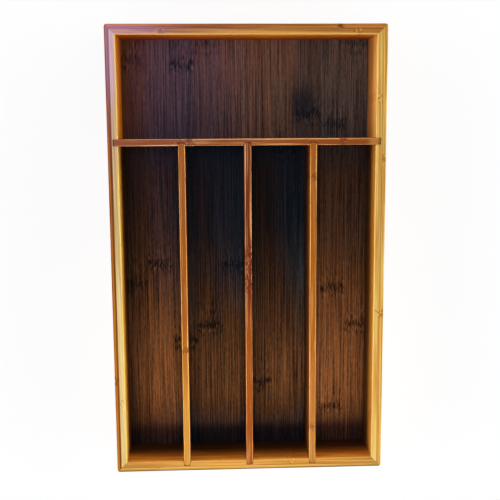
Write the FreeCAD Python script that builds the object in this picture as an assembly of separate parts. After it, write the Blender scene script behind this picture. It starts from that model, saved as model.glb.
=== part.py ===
import FreeCAD, Part
import os
from math import sqrt

# Flatware tray of bamboo: four mitred walls, a thin base panel held in a groove,
# one divider across the tray and three dividers along it.
# Lengths are in millimetres. The origin is at the middle of the underside,
# +X is the width, +Y points to the compartment that lies across, and +Z is up.

# Outside of the tray
tray_width = 267.0
tray_length = 439.0
wall_height = 57.0
outer_corner_radius = 2.5

# The two plies that each wall is glued up from
outer_ply = 4.3
inner_ply = 5.7

# Eased edges
rim_outer_ease = 1.2
rim_inner_ease = 0.9
foot_ease = 0.6
divider_ease = 1.0

# Base panel and the groove that holds it
base_thickness = 4.0
groove_height_above_table = 3.5
groove_depth = 4.0
groove_play = 0.1
panel_edge_play = 0.3

# Dividers
cross_compartment_length = 97.0
cross_divider_thickness = 6.2
long_divider_thickness = 6.2
long_divider_names = ["left_long_divider", "middle_long_divider", "right_long_divider"]

# Housings that take the ends of the dividers
wall_housing_depth = 5.0
divider_housing_depth = 3.0
housing_side_play = 0.2
housing_end_play = 0.3
housing_corner_radius = 1.2
end_corner_relief = 0.6

# Places worked out from the sizes above
wall = outer_ply + inner_ply
ply_line_x = tray_width / 2 - outer_ply
ply_line_y = tray_length / 2 - outer_ply
inner_x = tray_width / 2 - wall
inner_y = tray_length / 2 - wall
panel_underside = groove_height_above_table
panel_top = panel_underside + base_thickness
cross_back = inner_y - cross_compartment_length
cross_front = cross_back - cross_divider_thickness
cross_middle = (cross_back + cross_front) / 2
long_count = len(long_divider_names)
long_clear_width = (2 * inner_x - long_count * long_divider_thickness) / (long_count + 1)
long_pitch = long_clear_width + long_divider_thickness
divider_end_radius = housing_corner_radius + end_corner_relief


def long_divider_x(index):
    """Middle of one long divider, counted from the left."""
    return -inner_x + (index + 1) * long_pitch - long_divider_thickness / 2


def block(x_low, x_high, y_low, y_high, z_low, z_high):
    """Plain block between two corners."""
    corner = FreeCAD.Vector(x_low, y_low, z_low)
    return Part.makeBox(x_high - x_low, y_high - y_low, z_high - z_low, corner)


def is_upright(edge):
    """True for a straight edge that runs along Z."""
    first = edge.Vertexes[0].Point
    last = edge.Vertexes[-1].Point
    flat_run = sqrt((first.x - last.x) ** 2 + (first.y - last.y) ** 2)
    return flat_run < 1e-6 and abs(first.z - last.z) > 1e-6


def round_edges(shape, radius, wanted):
    """Round the edges for which wanted(edge) is true."""
    chosen = [edge for edge in shape.Edges if wanted(edge)]
    return shape.makeFillet(radius, chosen)


def lies_at_height(edge, height):
    """True for an edge that stays at one height."""
    return abs(edge.BoundBox.ZMin - height) < 1e-6 and abs(edge.BoundBox.ZMax - height) < 1e-6


def housing(x_middle, y_middle, along, width, reach, toward):
    """Upright slot for a divider's end, open at the rim, that stops level with the panel.

    along is the axis that the slot runs in, from its mouth at (x_middle, y_middle).
    toward is +1 or -1 along that axis, and reach is the slot's depth.
    The slot starts well before its mouth, so only its blind end has round corners.
    """
    start = -toward * width
    end = toward * reach
    low = min(start, end)
    high = max(start, end)
    half = width / 2
    above_rim = wall_height + width
    if along == "x":
        slot = block(x_middle + low, x_middle + high, y_middle - half, y_middle + half,
                     panel_top, above_rim)
        blind = x_middle + end
    else:
        slot = block(x_middle - half, x_middle + half, y_middle + low, y_middle + high,
                     panel_top, above_rim)
        blind = y_middle + end

    def at_blind_end(edge):
        point = edge.Vertexes[0].Point
        place = point.x if along == "x" else point.y
        return is_upright(edge) and abs(place - blind) < 1e-6

    return round_edges(slot, housing_corner_radius, at_blind_end)


def wall_housings():
    """The slots in the walls: two for the cross divider and one for each long divider."""
    cross_slot = cross_divider_thickness + 2 * housing_side_play
    long_slot = long_divider_thickness + 2 * housing_side_play
    slots = [
        housing(-inner_x, cross_middle, "x", cross_slot, wall_housing_depth, -1),
        housing(inner_x, cross_middle, "x", cross_slot, wall_housing_depth, 1),
    ]
    for index in range(long_count):
        slots.append(housing(long_divider_x(index), -inner_y, "y", long_slot,
                             wall_housing_depth, -1))
    return slots


def outer_ring():
    """The outer plies of all four walls before the mitres are cut."""
    outside = block(-tray_width / 2, tray_width / 2, -tray_length / 2, tray_length / 2,
                    0, wall_height)
    outside = round_edges(outside, outer_corner_radius, is_upright)
    outside = round_edges(outside, rim_outer_ease, lambda edge: lies_at_height(edge, wall_height))
    outside = round_edges(outside, foot_ease, lambda edge: lies_at_height(edge, 0))
    inside = block(-ply_line_x, ply_line_x, -ply_line_y, ply_line_y, -wall, wall_height + wall)
    return outside.cut(inside)


def inner_ring():
    """The inner plies of all four walls, with the panel's groove and the housings."""
    ring = block(-ply_line_x, ply_line_x, -ply_line_y, ply_line_y, 0, wall_height)
    ring = ring.cut(block(-inner_x, inner_x, -inner_y, inner_y, -wall, wall_height + wall))

    def inner_rim(edge):
        box = edge.BoundBox
        reach_x = max(abs(box.XMin), abs(box.XMax))
        reach_y = max(abs(box.YMin), abs(box.YMax))
        inside = reach_x < inner_x + 1e-6 and reach_y < inner_y + 1e-6
        return lies_at_height(edge, wall_height) and inside

    ring = round_edges(ring, rim_inner_ease, inner_rim)
    groove_x = inner_x + groove_depth
    groove_y = inner_y + groove_depth
    groove = block(-groove_x, groove_x, -groove_y, groove_y,
                   panel_underside, panel_top + groove_play)
    return ring.cut([groove] + wall_housings())


def mitre_sector(side):
    """Prism that takes in one wall, cut at 45 degrees through the corners."""
    reach = 2 * wall
    far_x = tray_width / 2 + reach
    far_y = tray_length / 2 + reach
    near_x = tray_width / 2 - reach
    near_y = tray_length / 2 - reach
    outlines = {
        "left": [(-far_x, -far_y), (-near_x, -near_y), (-near_x, near_y), (-far_x, far_y)],
        "right": [(far_x, -far_y), (near_x, -near_y), (near_x, near_y), (far_x, far_y)],
        "back": [(-far_x, far_y), (-near_x, near_y), (near_x, near_y), (far_x, far_y)],
        "front": [(-far_x, -far_y), (-near_x, -near_y), (near_x, -near_y), (far_x, -far_y)],
    }
    points = [FreeCAD.Vector(x, y, -wall) for x, y in outlines[side]]
    face = Part.Face(Part.makePolygon(points + points[:1]))
    return face.extrude(FreeCAD.Vector(0, 0, wall_height + 2 * wall))


def base_panel():
    """Thin panel whose edges sit in the groove, with a little room to swell."""
    half_x = inner_x + groove_depth - panel_edge_play
    half_y = inner_y + groove_depth - panel_edge_play
    return block(-half_x, half_x, -half_y, half_y, panel_underside, panel_top)


def ease_divider(board, long_axis):
    """Round a divider's four upright corners, then its two long top edges."""
    board = round_edges(board, divider_end_radius, is_upright)

    def long_top_edge(edge):
        box = edge.BoundBox
        run = box.XLength if long_axis == "x" else box.YLength
        return lies_at_height(edge, wall_height) and run > 4 * divider_end_radius

    return round_edges(board, divider_ease, long_top_edge)


def cross_divider():
    """Board across the tray, with a slot in its front face for each long divider."""
    half_run = inner_x + wall_housing_depth - housing_end_play
    board = block(-half_run, half_run, cross_front, cross_back, panel_top, wall_height)
    board = ease_divider(board, "x")
    slot_width = long_divider_thickness + 2 * housing_side_play
    slots = []
    for index in range(long_count):
        slots.append(housing(long_divider_x(index), cross_front, "y", slot_width,
                             divider_housing_depth, 1))
    return board.cut(slots)


def long_divider(index):
    """Board along the tray, from the cross divider to the front wall."""
    middle = long_divider_x(index)
    half = long_divider_thickness / 2
    front_end = -inner_y - wall_housing_depth + housing_end_play
    back_end = cross_front + divider_housing_depth - housing_end_play
    board = block(middle - half, middle + half, front_end, back_end, panel_top, wall_height)
    return ease_divider(board, "y")


pieces = {}
rings = {"outer_ply": outer_ring(), "inner_ply": inner_ring()}
for side in ["left", "right", "back", "front"]:
    sector = mitre_sector(side)
    for ply, ring in rings.items():
        pieces[side + "_wall_" + ply] = ring.common(sector)
pieces["base_panel"] = base_panel()
pieces["cross_divider"] = cross_divider()
for index, name in enumerate(long_divider_names):
    pieces[name] = long_divider(index)

os.makedirs("parts", exist_ok=True)
for name, shape in pieces.items():
    solids = shape.Solids
    print(name, len(solids), "solid", round(shape.Volume), "cubic mm", shape.isValid())
    shape.exportStep(os.path.join("parts", name + ".step"))
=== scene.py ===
from math import radians

import bmesh
import bpy
from mathutils import Matrix, Vector


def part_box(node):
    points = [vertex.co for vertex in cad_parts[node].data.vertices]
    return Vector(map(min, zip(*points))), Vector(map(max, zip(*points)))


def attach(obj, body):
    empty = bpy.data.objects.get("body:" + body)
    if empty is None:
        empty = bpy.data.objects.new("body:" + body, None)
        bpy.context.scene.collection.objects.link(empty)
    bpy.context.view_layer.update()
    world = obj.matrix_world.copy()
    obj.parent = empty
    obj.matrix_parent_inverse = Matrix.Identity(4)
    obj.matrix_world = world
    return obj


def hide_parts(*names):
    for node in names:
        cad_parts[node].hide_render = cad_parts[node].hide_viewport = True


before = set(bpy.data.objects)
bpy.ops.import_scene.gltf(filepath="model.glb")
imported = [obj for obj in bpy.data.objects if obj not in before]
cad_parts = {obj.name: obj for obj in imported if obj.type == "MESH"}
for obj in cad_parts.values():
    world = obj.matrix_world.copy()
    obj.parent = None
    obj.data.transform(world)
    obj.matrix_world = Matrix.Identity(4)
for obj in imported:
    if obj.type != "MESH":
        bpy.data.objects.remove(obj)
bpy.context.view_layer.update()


# Base panel
# Ten flat strips of bamboo, browned by heat and glued edge to edge into one thin board.
# The board is sanded, lacquered and held in the groove of the walls, with no screws.

# A length in metres times this is in millimetres, which every finish is measured in.
millimetres = 1000.0


class Value:
    """A number, colour or vector that changes over a surface.

    Ordinary sums on numbers add Math nodes. Colours and vectors go through Finish.
    """

    def __init__(self, finish, socket):
        self.finish = finish
        self.socket = socket

    def sum(self, operation, first, second=0.0):
        return self.finish.node("ShaderNodeMath", {"operation": operation}, {0: first, 1: second})

    def __add__(self, other):
        return self.sum("ADD", self, other)

    def __sub__(self, other):
        return self.sum("SUBTRACT", self, other)

    def __mul__(self, other):
        return self.sum("MULTIPLY", self, other)

    def __truediv__(self, other):
        return self.sum("DIVIDE", self, other)

    def __radd__(self, other):
        return self.sum("ADD", other, self)

    def __rsub__(self, other):
        return self.sum("SUBTRACT", other, self)

    def __rmul__(self, other):
        return self.sum("MULTIPLY", other, self)

    def __neg__(self):
        return self.sum("MULTIPLY", self, -1.0)

    def __abs__(self):
        return self.sum("ABSOLUTE", self)

    def wave(self):
        return self.sum("SINE", self)

    def fraction(self):
        return self.sum("FRACT", self)

    def rises(self, low, high):
        """0 up to low, 1 from high on, and a smooth step between them."""
        return self.finish.node("ShaderNodeMapRange", {"interpolation_type": "SMOOTHSTEP"},
                                {0: self, 1: low, 2: high})

    def near(self, place, reach):
        """1 at a place, falling smoothly to 0 at reach on both sides of it."""
        return 1 - abs(self - place).rises(0.0, reach)


class Finish:
    """The nodes of one material or world while they are put together."""

    def __init__(self, block):
        block.use_nodes = True
        block.node_tree.nodes.clear()
        self.block = block
        self.tree = block.node_tree

    def node(self, kind, settings, sockets, output=0):
        """Adds one node with its settings and then its inputs, and returns one output."""
        added = self.tree.nodes.new(kind)
        for name, setting in settings.items():
            if name == "stops":
                for number, (place, shade) in enumerate(setting):
                    if number > 1:
                        added.color_ramp.elements.new(place)
                    added.color_ramp.elements[number].position = place
                    added.color_ramp.elements[number].color = shade
            else:
                setattr(added, name, setting)
        for name, given in sockets.items():
            if isinstance(given, Value):
                self.tree.links.new(given.socket, added.inputs[name])
            else:
                added.inputs[name].default_value = given
        return Value(self, added.outputs[output]) if added.outputs else None

    def place(self):
        """Where a point lies in the tray's frame, in millimetres, along X, Y and Z."""
        metres = self.node("ShaderNodeTexCoord", {}, {}, "Object")
        spot = self.node("ShaderNodeVectorMath", {"operation": "SCALE"},
                         {0: metres, "Scale": millimetres})
        return [self.node("ShaderNodeSeparateXYZ", {}, {0: spot}, axis) for axis in "XYZ"]

    def noise(self, across, along, up, detail=2.0, roughness=0.5):
        """Smooth noise over three numbers that are already scaled."""
        spot = self.node("ShaderNodeCombineXYZ", {}, {0: across, 1: along, 2: up})
        return self.node("ShaderNodeTexNoise", {},
                         {"Vector": spot, "Scale": 1.0, "Detail": detail, "Roughness": roughness})

    def mix(self, first, second, share, blend="MIX"):
        """Two colours mixed: all of the first at share 0, all of the second at share 1."""
        return self.node("ShaderNodeMix", {"data_type": "RGBA", "blend_type": blend},
                         {0: share, 6: first, 7: second}, 2)

    def lacquered(self, colour, roughness, relief, depth, shine, coat):
        """Clear lacquer over a colour, with fine relief, whose depth is in metres."""
        bumped = self.node("ShaderNodeBump", {}, {"Height": relief, "Distance": depth,
                                                  "Strength": 1.0})
        shader = self.node("ShaderNodeBsdfPrincipled", {},
                           {"Base Color": colour, "Roughness": roughness, "Normal": bumped,
                            "Specular IOR Level": shine, "Coat Weight": coat,
                            "Coat Roughness": 0.15, "IOR": 1.45})
        self.node("ShaderNodeOutputMaterial", {}, {"Surface": shader})
        return self.block


def seen(red, green, blue):
    """A colour written as it is seen on a screen, from 0 to 255, made linear for a shader."""
    shares = [level / 255 for level in (red, green, blue)]
    return [((share + 0.055) / 1.055) ** 2.4 if share > 0.04045 else share / 12.92
            for share in shares] + [1.0]


def fibres(finish, across, along, up, seed):
    """Streaks along the cane, from hair fine to 10 mm wide, mostly between -1 and 1."""
    sway = finish.noise(across / 7 + seed, along / 150, up / 7, 1.0) * 10
    lines = ((across + up + sway) * 2.1).wave()
    hair = finish.noise(across / 0.7 + seed, along / 16, up / 0.7, 1.0)
    fine = finish.noise(across / 1.1 + seed, along / 90, up / 1.1, 0.0)
    broad = finish.noise(across / 10 + seed, along / 200, up / 10)
    return lines * 0.4 + (hair * 0.35 + fine * 0.55 + broad * 0.1 - 0.5) * 9


def add_piece(name, shape, material):
    """A finished mesh becomes a piece of the tray, at rest in the tray's own frame."""
    mesh = bpy.data.meshes.new(name)
    shape.to_mesh(mesh)
    shape.free()
    mesh.materials.append(material)
    piece = bpy.data.objects.new(name, mesh)
    bpy.context.scene.collection.objects.link(piece)
    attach(piece, "root")
    return piece


# Where the knuckles of the cane fall along each strip, in millimetres from the middle of the
# tray, from the left strip to the right one. They sit where the photograph shows them.
knuckles = [(-35, 191), (-15,), (187, -97), (205, -82), (-17,), (-143,), (100,), (136,),
            (127, -43, -172), (205, -82)]
most_knuckles = 3
nowhere = 9000.0

# How light each strip is beside the others, how warm its brown is, and how dark its marks are.
strip_tones = [0.82, 1.2, 0.88, 1.0, 1.05, 0.94, 1.0, 0.86, 1.1, 1.12]
strip_warmth = [0.4, 0.25, 0.2, 0.4, 0.6, 0.7, 0.6, 0.4, 0.2, 0.15]
mark_depths = [0.5, 0.9, 1.0, 0.9, 0.8, 1.0, 0.8, 1.1, 0.65, 0.7]

panel_low, panel_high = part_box("base_panel")
strip_width = (panel_high.x - panel_low.x) / len(knuckles)
strip_edge = 0.00012
bay_pitch = (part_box("right_long_divider")[0].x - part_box("middle_long_divider")[0].x) * millimetres


def strip_board():
    """The ten strips, each with its tone and its knuckles stored on its faces."""
    board = bmesh.new()
    tone_layer = board.faces.layers.float.new("tone")
    warmth_layer = board.faces.layers.float.new("warmth")
    depth_layer = board.faces.layers.float.new("mark_depth")
    knuckle_layers = [board.faces.layers.float.new("knuckle_" + str(number))
                      for number in range(most_knuckles)]
    size = panel_high - panel_low
    for number, places in enumerate(knuckles):
        strip = bmesh.ops.create_cube(board, size=1.0)["verts"]
        bmesh.ops.scale(board, vec=(strip_width, size.y, size.z), verts=strip)
        middle = Vector((panel_low.x + (number + 0.5) * strip_width,
                         (panel_low.y + panel_high.y) / 2, (panel_low.z + panel_high.z) / 2))
        bmesh.ops.translate(board, vec=middle, verts=strip)
        long_edges = list({edge for vert in strip for edge in vert.link_edges
                           if abs(edge.verts[0].co.y - edge.verts[1].co.y) > size.y / 2})
        bmesh.ops.bevel(board, geom=long_edges, offset=strip_edge, segments=2, profile=0.5,
                        affect="EDGES", material=-1)
        for face in board.faces:
            if abs(face.calc_center_median().x - middle.x) < strip_width / 2:
                face[tone_layer] = strip_tones[number]
                face[warmth_layer] = strip_warmth[number]
                face[depth_layer] = mark_depths[number]
                for layer, place in zip(knuckle_layers, list(places) + [nowhere] * most_knuckles):
                    face[layer] = place
    return board


def stored(finish, name):
    """A number that is stored on the faces of the strips."""
    return finish.node("ShaderNodeAttribute", {"attribute_name": name}, {}, "Fac")


def knuckle_marks(finish, x, y, z):
    """How much of a dark mark a point lies in, the strokes in it, and the fibres above it.

    Each mark is bent and ragged and narrows towards the edges of its strip. Its strokes lean
    both ways, and the fibres above it spread like a feather.
    """
    across_strip = (x - panel_low.x * millimetres) / (strip_width * millimetres)
    across_strip = across_strip.fraction() * 2 - 1
    wander = finish.noise(x / 5, y / 30, z, 1.0) * 8 - 4
    ragged = finish.noise(x / 9, y / 9, 5.0, 1.0).rises(0.38, 0.55)
    within = 1 - abs(across_strip).rises(0.6, 1.4) * 0.6
    marks = 0.0
    strokes = 0.0
    feathers = 0.0
    for number in range(most_knuckles):
        above = y - stored(finish, "knuckle_" + str(number))
        past = (above + wander) / within
        lean_left = finish.noise((x + above * 0.3) / 0.8, y / 6, number + 1.0, 0.0)
        lean_right = finish.noise((x - above * 0.3) / 0.8, y / 6, number + 21.0, 0.0)
        fan = (lean_left + lean_right - 1) * 6
        plume = finish.noise((x - across_strip * above * 0.25) / 1.3, y / 8, 7.0, 1.0) * 8 - 4
        band = past.near(0.0, 7.0) + past.near(-8.0, 5.0) * ragged * 0.5
        marks = marks + band
        strokes = strokes + fan * past.near(-2.0, 12.0)
        feathers = feathers + plume * past.near(6.0, 28.0)
    return marks, strokes, feathers


def browned_bamboo():
    """Dark brown strips: fibres along the tray, and short dark marks at the knuckles.

    A light brown shows over a dark one by its share, and warmth turns both from a bluish grey
    to brown. Shade and stains lie where the photograph has them, in millimetres from the
    middle of the tray. A bay is a long compartment, and its value grows from 0 at its left
    to 1 at its right.
    """
    finish = Finish(bpy.data.materials.new("browned_bamboo"))
    x, y, z = finish.place()
    bay = (x / bay_pitch).fraction()
    at_end = y.rises(104.0, 112.0)
    in_bays = 1 - at_end
    # Painted light grows towards the front, and a painted shadow of the front wall lies at its foot.
    toward_front = 1 - y.rises(-135.0, 50.0)
    front_wall_shadow = 1 - y.rises(-206.0, -150.0)

    # Fibres, flecks and knuckles together, light above 0 and dark below it.
    grain = fibres(finish, x, y, z, 3.0)
    flecks = finish.noise(x / 1.2, y / 5, 9.0, 1.0) * 4 - 2
    marks, strokes, feathers = knuckle_marks(finish, x, y, z)
    knots = strokes * 0.6 - marks * 0.8
    knots = knots * stored(finish, "mark_depth") * (1 - y.rises(194.0, 202.0) * 0.4)
    figure = grain * 0.4 + flecks * 0.27 + feathers * 0.3 + knots

    # Painted light and shade: more light brown towards the front and side walls, less beside a
    # divider.
    at_side = (-x).rises(50.0, 78.0) * 0.8 + x.rises(50.0, 78.0) * 1.3
    bay_share = 0.022 + toward_front * 0.19 + at_side * (0.14 + toward_front * 0.15)
    # Painted light across the end compartment: more towards the back wall and the middle.
    end_share = (0.47 - abs(x).rises(20.0, 100.0) * 0.16) * (0.7 + y.rises(110.0, 205.0) * 0.45)
    share = (bay_share * in_bays + end_share * at_end) * (1 - front_wall_shadow * 0.7)
    # Painted shade beside the dividers, deepest at a bay's left edge.
    beside = (1 - bay.rises(0.05, 0.3)) * (0.45 - x.rises(60.0, 64.0) * 0.4)
    beside = beside + bay.rises(0.82, 1.0) * 0.35
    share = share * (1 - beside * in_bays)
    # A painted pool of light near the front of a bay.
    painted_light_pool = x.near(40.0, 22.0) * y.near(-138.0, 55.0)
    dark_patch = x.near(61.0, 22.0) * y.near(145.0, 32.0)
    share = share * (1 + painted_light_pool * 0.65)
    share = share * (1 - dark_patch * 0.7)
    lit = 1 + figure * 0.5
    contrast = 0.05 + bay.rises(0.2, 0.6) * in_bays * 0.02
    share = share * stored(finish, "tone") * lit * lit + figure * contrast

    # Painted light: cool towards the back and right of a bay, warm towards the front and side walls.
    cool_light_tint = bay.rises(0.3, 0.95) * in_bays * (0.25 + y.rises(-110.0, 40.0) * 0.75)
    cool_light_tint = cool_light_tint * (1 - abs(x).rises(58.0, 68.0)) + y.rises(70.0, 100.0) * in_bays * 0.3
    warmth = stored(finish, "warmth") - cool_light_tint * 1.3 + in_bays * 0.3 + toward_front * 0.55
    warmth = warmth + x.rises(60.0, 75.0) * in_bays * 0.3
    warmth = warmth + (-x).rises(86.0, 120.0) * 0.6 + x.near(-48.0, 14.0) * at_end * 0.1

    blue_black = seen(26, 43, 59)
    brown_black = seen(26, 22, 18)
    soot = seen(8, 9, 12)
    night_blue = seen(20, 48, 68)
    lilac_grey = seen(162, 134, 160)
    straw_grey = seen(162, 148, 132)
    browned_cane = seen(194, 128, 80)
    in_pores = (0.5 - figure * 0.5).rises(0.0, 1.0)
    # Painted shade by the front wall, dark and bluish.
    front_wall_dark_shade = 1 - y.rises(-208.0, -180.0)
    dark = finish.mix(blue_black, brown_black, warmth - front_wall_shadow * 1.1)
    dark = finish.mix(dark, soot, in_pores * 0.55)
    dark = finish.mix(dark, night_blue, front_wall_dark_shade * 0.5)
    # The light brown turns lilac grey on the left, a painted cool reflection.
    grey = finish.mix(lilac_grey, straw_grey, x.rises(-60.0, 40.0))
    light = finish.mix(grey, browned_cane, warmth - front_wall_shadow * 0.2)
    colour = finish.mix(dark, light, share)
    burnt_patch = x.near(57.0, 17.0) * y.near(147.0, 26.0)
    colour = finish.mix(colour, dark, burnt_patch * 0.6)
    return finish.lacquered(colour, 0.45 + grain * 0.03, grain,
                            depth=0.00006, shine=0.06, coat=0.0)


panel = add_piece("base_strips", strip_board(), browned_bamboo())
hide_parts("base_panel")


# Inner plies of the walls
# Four pale bamboo boards, mitred at the corners and grooved for the base panel.
# Their upper edge is the wide pale band of the rim, and they carry the dividers' housings.

inner_low, inner_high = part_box("left_wall_inner_ply")
ply_line_x = -inner_low.x * millimetres
ply_line_y = inner_high.y * millimetres
inner_face_x = -inner_high.x * millimetres
inner_face_y = inner_face_x + ply_line_y - ply_line_x
rim_height = inner_high.z * millimetres


def tint(red, green, blue):
    """What a colour is multiplied by. A tint of 1, 1, 1 leaves it as it is."""
    return [red, green, blue, 1.0]


unshaded = tint(1.0, 1.0, 1.0)


def painted_by_depth(finish, colour, z, depth_shading):
    """A colour darkened by depth with painted shade, by tints for its foot, middle and upper part,
    and lit where a tint passes 1. The rim is left as it is.
    """
    foot, middle, upper = depth_shading
    shade = finish.node("ShaderNodeValToRGB",
                        {"stops": [(0.15, foot), (0.45, middle), (0.8, upper), (0.94, upper),
                                   (0.98, unshaded)]}, {"Fac": z / rim_height})
    return finish.mix(colour, shade, 1.0, "MULTIPLY")


def side_painted_by_depth(finish, colour, y, z, depth_shading, end_depth_shading):
    """The same for a side wall, with milder painted shade in the compartment that lies across."""
    at_end = y.rises(106.0, 112.0)
    foot, middle, upper = [finish.mix(deep, mild, at_end) for deep, mild in zip(depth_shading, end_depth_shading)]
    shade = finish.mix(foot, middle, z.rises(8.0, 25.0))
    shade = finish.mix(shade, upper, z.rises(25.0, 45.0))
    shade = finish.mix(shade, unshaded, z.rises(53.5, 56.0))
    return finish.mix(colour, shade, 1.0, "MULTIPLY")


def satin(finish, colour, grain):
    """The thin satin lacquer of the walls and the dividers."""
    return finish.lacquered(colour, 0.42 + grain * 0.03, grain,
                            depth=0.00003, shine=0.15, coat=0.08)


def wall_bamboo(name, along_x, light, dark, seed, marks, depth_shading, end_depth_shading=None,
                arris_highlight=seen(240, 196, 108), glue_seep=0.0, shaded_outer_edge=False, knot=None):
    """One ply of a wall: fibres along it that bend at its knuckles, and dark glue at its joints.

    marks are the places of its knuckles along it, and knot is the place of a black one, along
    and across. The tints for the foot, the middle and the upper part of its height paint shade,
    and light where they pass 1. The arris colour is a painted highlight on the inner edge of
    the rim. glue_seep is how dark the ply is beside the glue, and a shaded outer edge is
    painted shade on the outer edge of the rim.
    """
    finish = Finish(bpy.data.materials.new(name))
    x, y, z = finish.place()
    along, across = (x, y) if along_x else (y, x)
    ply_line = ply_line_y if along_x else ply_line_x
    inner_face = inner_face_y if along_x else inner_face_x
    knot_black = seen(58, 28, 12)
    seep_brown = seen(104, 46, 8)
    glue_brown = seen(146, 60, 0)
    mitre_brown = seen(130, 84, 40)
    edge_shade_brown = seen(84, 52, 24)
    lilac = tint(0.83, 0.68, 1.15)
    knuckle_reach = 7.0
    knuckle = 0.0
    for mark in marks:
        knuckle = knuckle + along.near(mark, knuckle_reach)
    wavy = finish.noise(across / 2.5 + seed, along / 4, z / 4, 1.0) * 8 - 4
    slanted = across + along * 0.012 + wavy * knuckle
    grain = fibres(finish, slanted, along, z, seed)
    streaks = finish.noise(slanted / 1.2 + seed, along / 100, z / 1.2, 1.0) * 8 - 4
    strokes = finish.noise(slanted / 1.4, along / 2.2 + seed, z / 2, 0.0) * 10 - 5
    drift = finish.noise(across / 8 + seed, along / 60, z / 30, 1.0) * 4 - 2
    pale = 0.5 + grain * 0.2 + streaks * 0.38 + drift * 0.2 + strokes * knuckle * 0.7
    # Painted light: the side walls grow paler towards the front.
    if not along_x:
        pale = pale + (1 - y.rises(-200.0, -60.0)) * 0.35
    colour = finish.mix(dark, light, pale.rises(-0.3, 1.3))
    colour = finish.mix(colour, dark, knuckle * 0.25)
    if knot:
        spot = along.near(knot[0], 3.5) * across.near(knot[1], 1.8)
        colour = finish.mix(colour, knot_black, spot)
    if glue_seep:
        beside = abs(across).near(ply_line + 0.9, 1.1)
        colour = finish.mix(colour, seep_brown, beside * glue_seep)
    glue = abs(across).near(ply_line, 0.6)
    colour = finish.mix(colour, glue_brown, glue * 0.62)
    mitre = (abs(x) - abs(y)).near(ply_line_x - ply_line_y, 0.5)
    colour = finish.mix(colour, mitre_brown, mitre * 0.5)
    # Painted shade on the outer edge of the front rim, which turns away from the light.
    if shaded_outer_edge:
        edge_shade = (-y).rises(217.6, 218.8) * z.rises(54.6, 56.2)
        colour = finish.mix(colour, edge_shade_brown, edge_shade)
    # Painted cool reflection: lilac towards the back left corner, as the photograph shows it.
    cool_reflection_area = (-x).rises(-20.0, 125.0) * y.rises(40.0, 190.0)
    colour = finish.mix(colour, lilac, cool_reflection_area, "MULTIPLY")
    if end_depth_shading:
        colour = side_painted_by_depth(finish, colour, y, z, depth_shading, end_depth_shading)
    else:
        colour = painted_by_depth(finish, colour, z, depth_shading)
    # A painted highlight on the inner edge of the rim.
    arris_highlight_mask = abs(across).near(inner_face + 0.3, 1.4) * z.rises(rim_height - 1.8, rim_height - 0.4)
    colour = finish.mix(colour, arris_highlight, arris_highlight_mask * 0.75)
    return satin(finish, colour, grain)


def dress(node, material):
    """Gives a piece from the frame its material, in the slots that it already has."""
    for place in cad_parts[node].material_slots:
        place.material = material


# The tints of each ply paint shade towards its foot, and light where a tint passes 1, milder in the
# compartment that lies across.
inner_plies = {
    "left_wall_inner_ply": {
        "along_x": False, "light": seen(249, 221, 153), "dark": seen(214, 174, 112),
        "seed": 11.0, "marks": (-148,), "arris_highlight": seen(255, 214, 82),
        "depth_shading": (tint(0.1, 0.04, 0.01), tint(0.3, 0.12, 0.03), tint(1.0, 0.68, 0.2)),
        "end_depth_shading": (tint(0.5, 0.22, 0.03), tint(1.1, 0.42, 0.03), tint(1.05, 0.7, 0.1)),
    },
    "right_wall_inner_ply": {
        "along_x": False, "light": seen(248, 208, 112), "dark": seen(212, 142, 58),
        "seed": 23.0, "marks": (150, -60),
        "depth_shading": (tint(0.12, 0.08, 0.07), tint(0.21, 0.16, 0.15), tint(0.8, 0.54, 0.28)),
        "end_depth_shading": (tint(0.5, 0.32, 0.28), tint(0.72, 0.45, 0.4), tint(1.0, 0.78, 0.75)),
    },
    "back_wall_inner_ply": {
        "along_x": True, "light": seen(230, 166, 74), "dark": seen(164, 98, 34),
        "seed": 37.0, "marks": (-82, 104),
        "depth_shading": (tint(0.6, 0.24, 0.05), tint(1.1, 0.42, 0.07), tint(1.25, 0.9, 0.2)),
    },
    "front_wall_inner_ply": {
        "along_x": True, "light": seen(222, 164, 74), "dark": seen(180, 122, 48),
        "seed": 41.0, "marks": (42,), "arris_highlight": seen(226, 164, 84),
        "depth_shading": (tint(0.12, 0.12, 0.13), tint(0.22, 0.165, 0.15), tint(1.25, 0.84, 0.42)),
    },
}
for node, looks in inner_plies.items():
    dress(node, wall_bamboo(node, **looks))


# Outer plies of the walls
# Four boards glued to the outside of the inner ones, amber on the left and back walls and
# golden on the right and front ones. Their outer corners and edges are rounded and sanded.

# The outer faces are darker below the rim.
outer_darkening = (tint(0.72, 0.68, 0.62), tint(0.85, 0.82, 0.78), tint(1.0, 0.98, 0.95))
outer_plies = {
    "left_wall_outer_ply": {
        "along_x": False, "light": seen(200, 122, 26), "dark": seen(122, 54, 6),
        "seed": 53.0, "marks": (-124,), "glue_seep": 0.75,
    },
    "right_wall_outer_ply": {
        "along_x": False, "light": seen(254, 204, 100), "dark": seen(192, 124, 42),
        "seed": 61.0, "marks": (92, -60),
    },
    "back_wall_outer_ply": {
        "along_x": True, "light": seen(222, 142, 58), "dark": seen(150, 82, 28),
        "seed": 71.0, "marks": (87,), "knot": (87.0, 217.4),
    },
    "front_wall_outer_ply": {
        "along_x": True, "light": seen(236, 188, 96), "dark": seen(192, 136, 58),
        "seed": 83.0, "marks": (-95,), "shaded_outer_edge": True,
    },
}
for node, looks in outer_plies.items():
    dress(node, wall_bamboo(node, depth_shading=outer_darkening, **looks))


# Dividers
# Four honey coloured boards with eased edges: one across the tray, and three that run from
# it to the front wall. Their ends stand in open housings and are level with the rim.

# Painted shade: the dividers' faces darken strongly towards their foot.
divider_depth_shading = (tint(0.09, 0.06, 0.035), tint(0.16, 0.095, 0.045), tint(0.34, 0.18, 0.07))


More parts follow.
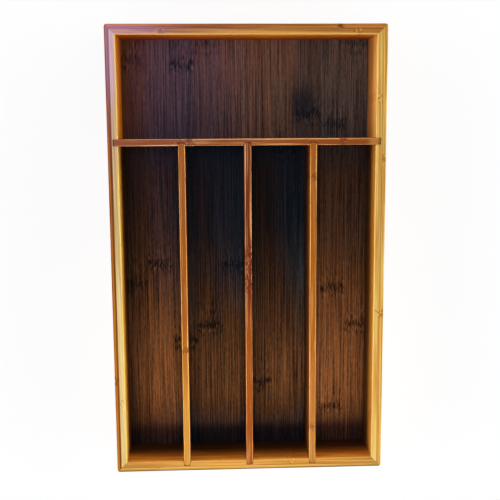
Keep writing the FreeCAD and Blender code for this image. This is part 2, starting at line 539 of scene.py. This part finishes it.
def divider_bamboo(name, along_x, middle, half, core, edge, seed, marks, front=None):
    """A divider: a darker core between paler edges, which are a painted highlight, with fibres along
    it.

    middle is where it stands, and half is half its thickness. marks are its knuckles, each
    with its place and its reach. front is the core's colour towards the front wall, where
    that colour is reached, and where it begins.
    """
    finish = Finish(bpy.data.materials.new(name))
    x, y, z = finish.place()
    along, across = (x, y) if along_x else (y, x)
    honey = seen(216, 150, 62)
    knuckle_red = seen(110, 30, 4)
    # A painted highlight on the eased edges of the top.
    edge_highlight = abs(across - middle).rises(half * 0.7, half * 0.97)
    band = 0.0
    for mark, reach in marks:
        band = band + along.near(mark, reach)
    grain = fibres(finish, across, along, z, seed)
    streaks = finish.noise(across / 1.1 + seed, along / 60, z / 1.1, 1.0) * 8 - 4
    strokes = finish.noise((across + z) / 1.3, along / 2.5 + seed, z / 2, 0.0) * 10 - 5
    drift = finish.noise(across / 8 + seed, along / 45, z / 30, 1.0) * 4 - 2
    pale = edge_highlight * 0.8 + grain * 0.14 + streaks * 0.24 + drift * 0.12 + strokes * band * 0.5
    if front:
        front_core, reached, begins = front
        core = finish.mix(core, front_core, 1 - y.rises(reached, begins))
    colour = finish.mix(core, edge, pale.rises(0.0, 1.05))
    if along_x:
        right_end = x.rises(114.0, 121.0)
        colour = finish.mix(colour, honey, right_end * 0.6)
    colour = finish.mix(colour, knuckle_red, band * (0.6 - edge_highlight * 0.4 + strokes * 0.08))
    colour = painted_by_depth(finish, colour, z, divider_depth_shading)
    return satin(finish, colour, grain)


cross_low, cross_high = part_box("cross_divider")
cross_middle = (cross_low.y + cross_high.y) / 2 * millimetres
cross_half = (cross_high.y - cross_low.y) / 2 * millimetres
dress("cross_divider", divider_bamboo("cross_divider", True, cross_middle, cross_half,
                                      core=seen(154, 76, 20), edge=seen(255, 192, 122), seed=91.0,
                                      marks=((92, 5), (-60, 14), (127, 2.5))))
long_dividers = {
    "left_long_divider": {
        "core": seen(170, 90, 20), "edge": seen(246, 186, 104),
        "seed": 101.0, "marks": ((-95, 6),), "front": (seen(202, 142, 52), -190.0, -60.0),
    },
    "middle_long_divider": {
        "core": seen(120, 42, 0), "edge": seen(240, 172, 104),
        "seed": 113.0, "marks": ((-2, 14), (-24, 18)), "front": (seen(152, 72, 8), -75.0, -38.0),
    },
    "right_long_divider": {
        "core": seen(176, 97, 22), "edge": seen(246, 186, 104),
        "seed": 127.0, "marks": ((76, 6), (-176, 6)), "front": (seen(186, 120, 54), -190.0, -80.0),
    },
}
for node, looks in long_dividers.items():
    low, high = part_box(node)
    middle = (low.x + high.x) / 2 * millimetres
    half = (high.x - low.x) / 2 * millimetres
    dress(node, divider_bamboo(node, False, middle, half, **looks))


# Floor and light
# A plain white floor under the tray, and pale light from all round, low down. It reaches
# the rim and the upper part of the walls and leaves the compartments deep.

white = (1.0, 1.0, 1.0, 1.0)
white_paper = (0.9, 0.9, 0.9, 1.0)
grey_paper = (0.4, 0.4, 0.4, 1.0)
dim_sky = (0.22, 0.24, 0.28, 1.0)
warm_white = (1.0, 1.0, 0.97)
floor_glow = 1.09
floor_size = 3.0
floor_shape = bmesh.new()
bmesh.ops.create_grid(floor_shape, x_segments=1, y_segments=1, size=floor_size)
floor_mesh = bpy.data.meshes.new("floor")
floor_shape.to_mesh(floor_mesh)
floor_shape.free()
floor = bpy.data.objects.new("floor", floor_mesh)
bpy.context.scene.collection.objects.link(floor)


def sees_background(finish):
    """1 for a ray that shows the background itself, straight, in a gloss or through glass."""
    kinds = ("Is Camera Ray", "Is Glossy Ray", "Is Transmission Ray")
    straight, in_gloss, through = [finish.node("ShaderNodeLightPath", {}, {}, kind)
                                   for kind in kinds]
    return straight + in_gloss + through


# The floor is white to such a ray and keeps the tray's shadow. The tray itself is lit by it
# as by grey paper.
floor_finish = Finish(bpy.data.materials.new("white_floor"))
background = sees_background(floor_finish)
paper = floor_finish.mix(grey_paper, white_paper, background)
matt = floor_finish.node("ShaderNodeBsdfDiffuse", {}, {"Color": paper})
bright = floor_finish.node("ShaderNodeEmission", {}, {"Color": white, "Strength": floor_glow})
mixed = floor_finish.node("ShaderNodeMixShader", {}, {0: background * 0.8, 1: matt, 2: bright})
floor_finish.node("ShaderNodeOutputMaterial", {}, {"Surface": mixed})
floor_mesh.materials.append(floor_finish.block)

# The sky is white to such a ray. It lights the tray from both sides, up to a third of the
# way overhead, and from both ends, lower down and more from the front.
sky = Finish(bpy.data.worlds.new("studio"))
bpy.context.scene.world = sky.block
direction = sky.node("ShaderNodeTexCoord", {}, {}, "Generated")
rightward, backward, upward = [sky.node("ShaderNodeSeparateXYZ", {}, {0: direction}, axis)
                               for axis in "XYZ"]
sideways = rightward * rightward
from_sides = (1 - upward.rises(0.35, 0.58)) * sideways * 5
forward = 0.5 - backward * 0.5
from_ends = (1 - upward.rises(0.04, 0.17)) * (1 - sideways) * (6 + forward * 3)
glow = sky.node("ShaderNodeVectorMath", {"operation": "SCALE"},
                {0: warm_white, "Scale": from_sides + from_ends})
level = sky.mix(glow, dim_sky, 1.0, "ADD")
level = sky.mix(level, white, sees_background(sky))
shown = sky.node("ShaderNodeBackground", {}, {"Color": level})
sky.node("ShaderNodeOutputWorld", {}, {"Surface": shown})


def add_lamp(name, place, aim, size, watts, colour, spread, glossy):
    """A soft square lamp that points at a spot of the tray.

    A glossy lamp shows in the lacquer alone, and any other one lights the wood alone.
    """
    lamp = bpy.data.lights.new(name, "AREA")
    lamp.size = size
    lamp.energy = watts
    lamp.color = colour
    lamp.spread = radians(spread)
    holder = bpy.data.objects.new(name, lamp)
    toward = Vector(aim) - Vector(place)
    holder.matrix_world = (Matrix.Translation(Vector(place))
                           @ toward.to_track_quat("-Z", "Y").to_matrix().to_4x4())
    holder.visible_camera = False
    holder.visible_glossy = glossy
    holder.visible_diffuse = not glossy
    bpy.context.scene.collection.objects.link(holder)


# Warm light down into the front of the long compartments, and a violet gleam in the lacquer
# of the back left corner.
add_lamp("front_lamp", place=(0.0, -0.54, 0.91), aim=(0.0, -0.135, 0.0), size=0.2, watts=0.09,
         colour=(1.0, 0.9, 0.68), spread=20.0, glossy=False)
add_lamp("corner_lamp", place=(-0.226, 0.274, 0.848), aim=(-0.13, 0.2, 0.057), size=0.16,
         watts=0.2, colour=(0.5, 0.42, 1.0), spread=36.0, glossy=True)


# Camera
# It looks almost straight down into the open tray from above its middle, a little towards
# the compartment that lies across, as the photograph does.

camera_place = (-0.0326, 0.1251, 0.8543)
camera_tilt = -8.532
camera_swing = -2.498
camera_roll = -0.36
camera = bpy.data.cameras.new("camera")
camera.sensor_width = 36.0
camera.lens = 59.68
camera_holder = bpy.data.objects.new("camera", camera)
camera_holder.location = camera_place
camera_holder.rotation_euler = [radians(turn) for turn in (camera_tilt, camera_swing, camera_roll)]
bpy.context.scene.collection.objects.link(camera_holder)
bpy.context.scene.camera = camera_holder
bpy.context.scene.view_settings.view_transform = "Standard"
